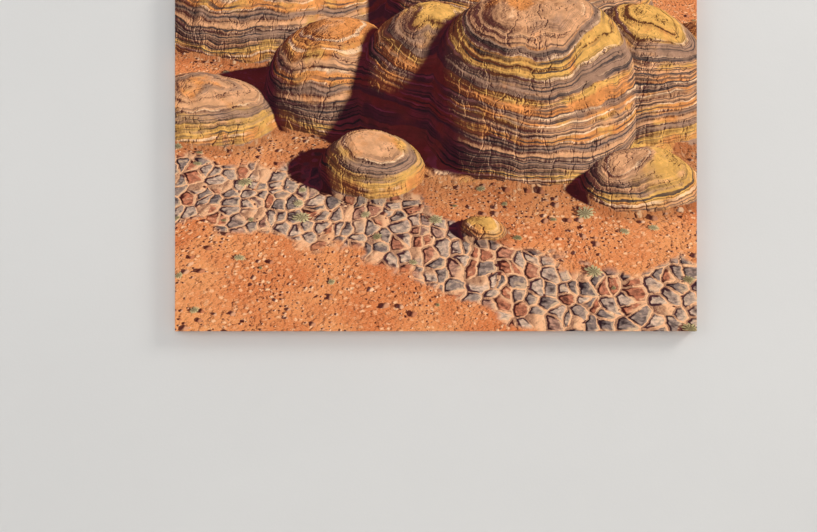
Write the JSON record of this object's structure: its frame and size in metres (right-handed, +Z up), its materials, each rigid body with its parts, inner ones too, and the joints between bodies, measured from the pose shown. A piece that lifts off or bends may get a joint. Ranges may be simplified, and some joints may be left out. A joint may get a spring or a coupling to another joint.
{
  "type": "stretched canvas wall print",
  "caption": "Frameless wall print: cloth with a desert-ground picture wrapped over a keyed, braced pine stretcher, with sawtooth hangers and rubber bumpers on its back.",
  "frame": {"origin": "middle of the print's back, on the wall that it hangs on", "axes": "+X to the picture's right as seen from the front, +Y into the wall, +Z up; the picture faces -Y"},
  "size_m": [1.2, 0.0426, 0.8],
  "materials": {
    "canvas": "inkjet-printed cotton canvas with a satin varnish, plain primed cloth on the back",
    "pine": "planed, unvarnished pine",
    "key_wood": "sawn hardwood",
    "steel": "zinc plated",
    "rubber": "moulded, matt"
  },
  "bodies": {
    "root": {"canvas": "canvas", "bar_top": "pine", "bar_bottom": "pine", "bar_left": "pine", "bar_right": "pine", "brace": "pine", "key_top_1": "key_wood", "key_top_2": "key_wood", "key_top_3": "key_wood", "key_top_4": "key_wood", "key_bottom_1": "key_wood", "key_bottom_2": "key_wood", "key_bottom_3": "key_wood", "key_bottom_4": "key_wood", "key_left_1": "key_wood", "key_left_2": "key_wood", "key_right_1": "key_wood", "key_right_2": "key_wood", "hanger_left": "steel", "hanger_right": "steel", "screw_1": "steel", "screw_2": "steel", "screw_3": "steel", "screw_4": "steel", "bumper_bottom_left": "rubber", "bumper_bottom_right": "rubber", "bumper_top_left": "rubber", "bumper_top_right": "rubber"}
  },
  "joints": []
}
